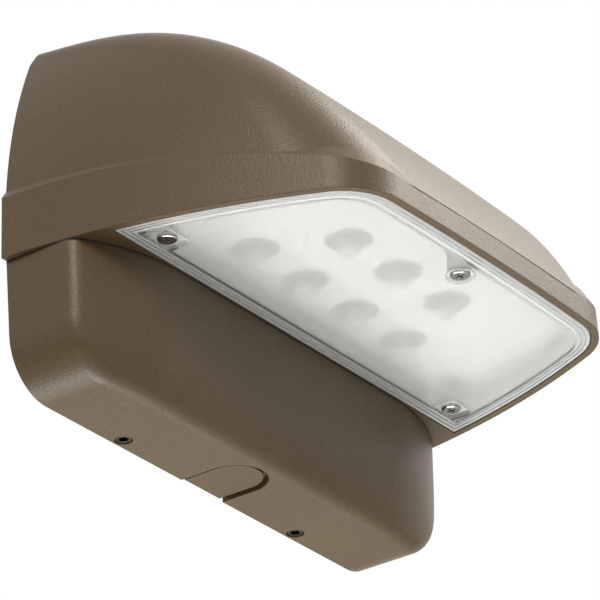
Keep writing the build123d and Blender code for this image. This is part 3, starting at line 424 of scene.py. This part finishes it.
smallFinishes = {
    "boardWhite": {
        "on": ("led_board",), "colour": (0.84, 0.85, 0.83), "roughness": 0.38,
        "grainPerM": 600.0, "grainM": 0.000008, "contrast": 0.03, "edgeM": 0.0002,
    },
    "emitterYellow": {
        "on": ("led_emitters",), "colour": (0.86, 0.80, 0.52), "roughness": 0.30,
        "grainPerM": 900.0, "grainM": 0.000005, "contrast": 0.05, "edgeM": 0.0001,
    },
    "zincPlate": {
        "on": ("mounting_plate", "hinge_rod"), "colour": (0.56, 0.56, 0.54), "roughness": 0.36,
        "grainPerM": 260.0, "grainM": 0.000008, "contrast": 0.16, "edgeM": 0.0003, "metallic": 1.0,
    },
    "zincScrew": {
        "on": ("casting_screws", "driver_screws", "board_screws"),
        "colour": (0.56, 0.56, 0.54), "roughness": 0.30,
        "grainPerM": 1400.0, "grainM": 0.000006, "contrast": 0.10, "edgeM": 0.00015, "metallic": 1.0,
    },
    "polishedSteel": {
        "on": ("lens_screws",), "colour": (0.50, 0.49, 0.47), "roughness": 0.14,
        "grainPerM": 1400.0, "grainM": 0.000004, "contrast": 0.15, "edgeM": 0.0002, "metallic": 1.0,
    },
    "blackenedSteel": {
        "on": ("set_screw_left", "set_screw_right"), "colour": (0.10, 0.10, 0.10), "roughness": 0.30,
        "grainPerM": 1200.0, "grainM": 0.000008, "contrast": 0.3, "edgeM": 0.0002, "metallic": 1.0,
    },
    "greenSteel": {
        "on": ("ground_screw",), "colour": (0.03, 0.20, 0.06), "roughness": 0.35,
        "grainPerM": 1400.0, "grainM": 0.000006, "contrast": 0.10, "edgeM": 0.0002, "metallic": 1.0,
    },
    "blackRubber": {
        "on": ("seam_gasket", "wall_gasket", "lead_grommet"),
        "colour": (0.022, 0.022, 0.022), "roughness": 0.72,
        "grainPerM": 900.0, "grainM": 0.000020, "contrast": 0.25, "edgeM": 0.0002,
    },
    "whiteSilicone": {
        "on": ("lens_gasket",), "colour": (0.78, 0.79, 0.78), "roughness": 0.5,
        "grainPerM": 600.0, "grainM": 0.000010, "contrast": 0.05, "edgeM": 0.0002,
    },
    "greyPad": {
        "on": ("thermal_pad",), "colour": (0.30, 0.32, 0.35), "roughness": 0.8,
        "grainPerM": 900.0, "grainM": 0.000020, "contrast": 0.08, "edgeM": 0.0,
    },
    "driverBlack": {
        "on": ("led_driver",), "colour": (0.028, 0.028, 0.030), "roughness": 0.5,
        "grainPerM": 900.0, "grainM": 0.000020, "contrast": 0.2, "edgeM": 0.0004,
    },
    "leadRed": {
        "on": ("led_lead_positive",), "colour": (0.42, 0.018, 0.012), "roughness": 0.4,
        "grainPerM": 500.0, "grainM": 0.000006, "contrast": 0.1, "edgeM": 0.0,
    },
    "leadBlack": {
        "on": ("led_lead_negative", "supply_lead_line"),
        "colour": (0.018, 0.018, 0.018), "roughness": 0.4,
        "grainPerM": 500.0, "grainM": 0.000006, "contrast": 0.2, "edgeM": 0.0,
    },
    "leadWhite": {
        "on": ("supply_lead_neutral",), "colour": (0.72, 0.72, 0.69), "roughness": 0.4,
        "grainPerM": 500.0, "grainM": 0.000006, "contrast": 0.05, "edgeM": 0.0,
    },
    "leadGreen": {
        "on": ("supply_lead_ground",), "colour": (0.02, 0.22, 0.05), "roughness": 0.4,
        "grainPerM": 500.0, "grainM": 0.000006, "contrast": 0.1, "edgeM": 0.0,
    },
    "connectorAmber": {
        "on": ("splice_connectors",), "colour": (0.62, 0.36, 0.07), "roughness": 0.25,
        "grainPerM": 500.0, "grainM": 0.000006, "contrast": 0.06, "edgeM": 0.0004,
    },
}


def makeGrained(name, look):
    finish = Finish(name, Metallic=look.get("metallic", 0.0))
    grain = finish.noise(look["grainPerM"], 3.0)
    cloud = finish.noise(grainStyle["cloudPerM"])
    tone = (grain * 0.5 + cloud * 0.5).rise(*grainStyle["toneEdges"])
    darker = tuple(part * (1.0 - look["contrast"]) for part in look["colour"])
    lighter = tuple(min(part * (1.0 + look["contrast"]), 1.0) for part in look["colour"])
    finish.feed(
        Base_Color=finish.blend(tone, darker, lighter),
        Roughness=(grain - 0.5) * grainStyle["glossSpread"] + look["roughness"],
    )
    finish.relief(grain, look["grainM"], look["edgeM"])
    return finish.material


def dress(nodes, material, *names):
    for name in names:
        if not nodes[name].material_slots:
            nodes[name].data.materials.append(material)
        for entry in nodes[name].material_slots:
            entry.material = material


# Studio: white backdrop, pale floor, soft lamps

studio = {
    "backdrop": (1.0, 1.0, 1.0),
    "fill": (1.0, 0.985, 0.965),
    "fillStrength": 0.27,
    "floorHighM": -1.3,
    "floorSizeM": 12.0,
    "floorPaint": {
        "colour": (0.86, 0.86, 0.85), "roughness": 0.7,
        "grainPerM": 30.0, "grainM": 0.0002, "contrast": 0.01, "edgeM": 0.0,
    },
    "lamps": {
        "keyRight": {
            "at": (1.3, -0.95, 1.55), "aim": (0.0, -0.06, 0.0), "size": (1.2, 1.2),
            "watts": 47.0, "colour": (1.0, 0.95, 0.87),
        },
        "leftHigh": {
            "at": (-1.38, -0.80, 0.78), "aim": (-0.08, -0.03, 0.0), "size": (0.25, 0.6),
            "watts": 15.5, "colour": (1.0, 0.95, 0.87),
        },
        "below": {
            "at": (0.30, 0.36, -1.2), "aim": (0.0, -0.02, -0.03), "size": (1.0, 0.4),
            "watts": 15.0, "colour": (0.97, 0.99, 1.0),
        },
        "backRim": {
            "at": (0.9, 1.2, 1.2), "aim": (0.0, -0.04, 0.03), "size": (1.4, 1.0),
            "watts": 3.0, "colour": (1.0, 1.0, 1.0),
        },
    },
}


def makeStudio():
    scene = bpy.context.scene
    scene.view_settings.view_transform = "Standard"
    world = bpy.data.worlds.new("studio")
    scene.world = world
    world.use_nodes = True
    tree = world.node_tree
    tree.nodes.clear()
    seen = addNode(tree, "ShaderNodeBackground", {}, {"Color": studio["backdrop"]})
    strength = {"Color": studio["fill"], "Strength": studio["fillStrength"]}
    fill = addNode(tree, "ShaderNodeBackground", {}, strength)
    camera = addNode(tree, "ShaderNodeLightPath", {}, {}, "Is Camera Ray")
    glossy = addNode(tree, "ShaderNodeLightPath", {}, {}, "Is Glossy Ray")
    through = addNode(tree, "ShaderNodeLightPath", {}, {}, "Is Transmission Ray")
    direct = (camera + glossy + through) > 0.5
    mixed = addNode(tree, "ShaderNodeMixShader", {}, {0: direct, 1: fill, 2: seen})
    addNode(tree, "ShaderNodeOutputWorld", {}, {"Surface": mixed})
    for name, look in studio["lamps"].items():
        lamp = bpy.data.lights.new(name, "AREA")
        lamp.shape = "RECTANGLE"
        lamp.size, lamp.size_y = look["size"]
        lamp.energy = look["watts"]
        lamp.color = look["colour"]
        holder = linked(name, lamp)
        holder.location = look["at"]
        aim = Vector(look["aim"]) - Vector(look["at"])
        holder.rotation_euler = aim.to_track_quat("-Z", "Y").to_euler()
    half = studio["floorSizeM"] / 2
    corners = [(-half, -half, 0.0), (half, -half, 0.0), (half, half, 0.0), (-half, half, 0.0)]
    mesh = bpy.data.meshes.new("floor")
    mesh.from_pydata(corners, [], [(0, 1, 2, 3)])
    mesh.materials.append(makeGrained("floorPaint", studio["floorPaint"]))
    floor = linked("floor", mesh)
    floor.location.z = studio["floorHighM"]


# Camera, fitted to the photograph

cameraView = {
    "at": (-1.144617, -0.815376, -0.716069),
    "turnDeg": (117.18863, 2.55257, -54.62648),
    "lensMm": 289.976,
    "sensorMm": 36.0,
    "clipM": (0.05, 50.0),
}


def makeCamera():
    data = bpy.data.cameras.new("camera")
    data.lens = cameraView["lensMm"]
    data.sensor_width = cameraView["sensorMm"]
    data.clip_start, data.clip_end = cameraView["clipM"]
    holder = linked("camera", data)
    holder.location = cameraView["at"]
    holder.rotation_euler = Euler([math.radians(turn) for turn in cameraView["turnDeg"]])
    bpy.context.scene.camera = holder


def main():
    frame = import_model()
    nodes = frame["nodes"]
    print("frame loaded:", len(nodes), "nodes")
    makeCamera()
    makeStudio()
    print("camera and studio made")
    dress(nodes, makePowderCoat(), "head_housing", "lower_box", "conduit_plug")
    dress(nodes, makeLensPlastic(), "lens")
    dress(nodes, makeTrayWhite(), "reflector_tray")
    for name, look in smallFinishes.items():
        dress(nodes, makeGrained(name, look), *look["on"])
    print("finishes made: powder coat, lens, tray and", len(smallFinishes), "more")
    makeOptics()
    print("optics made")


main()
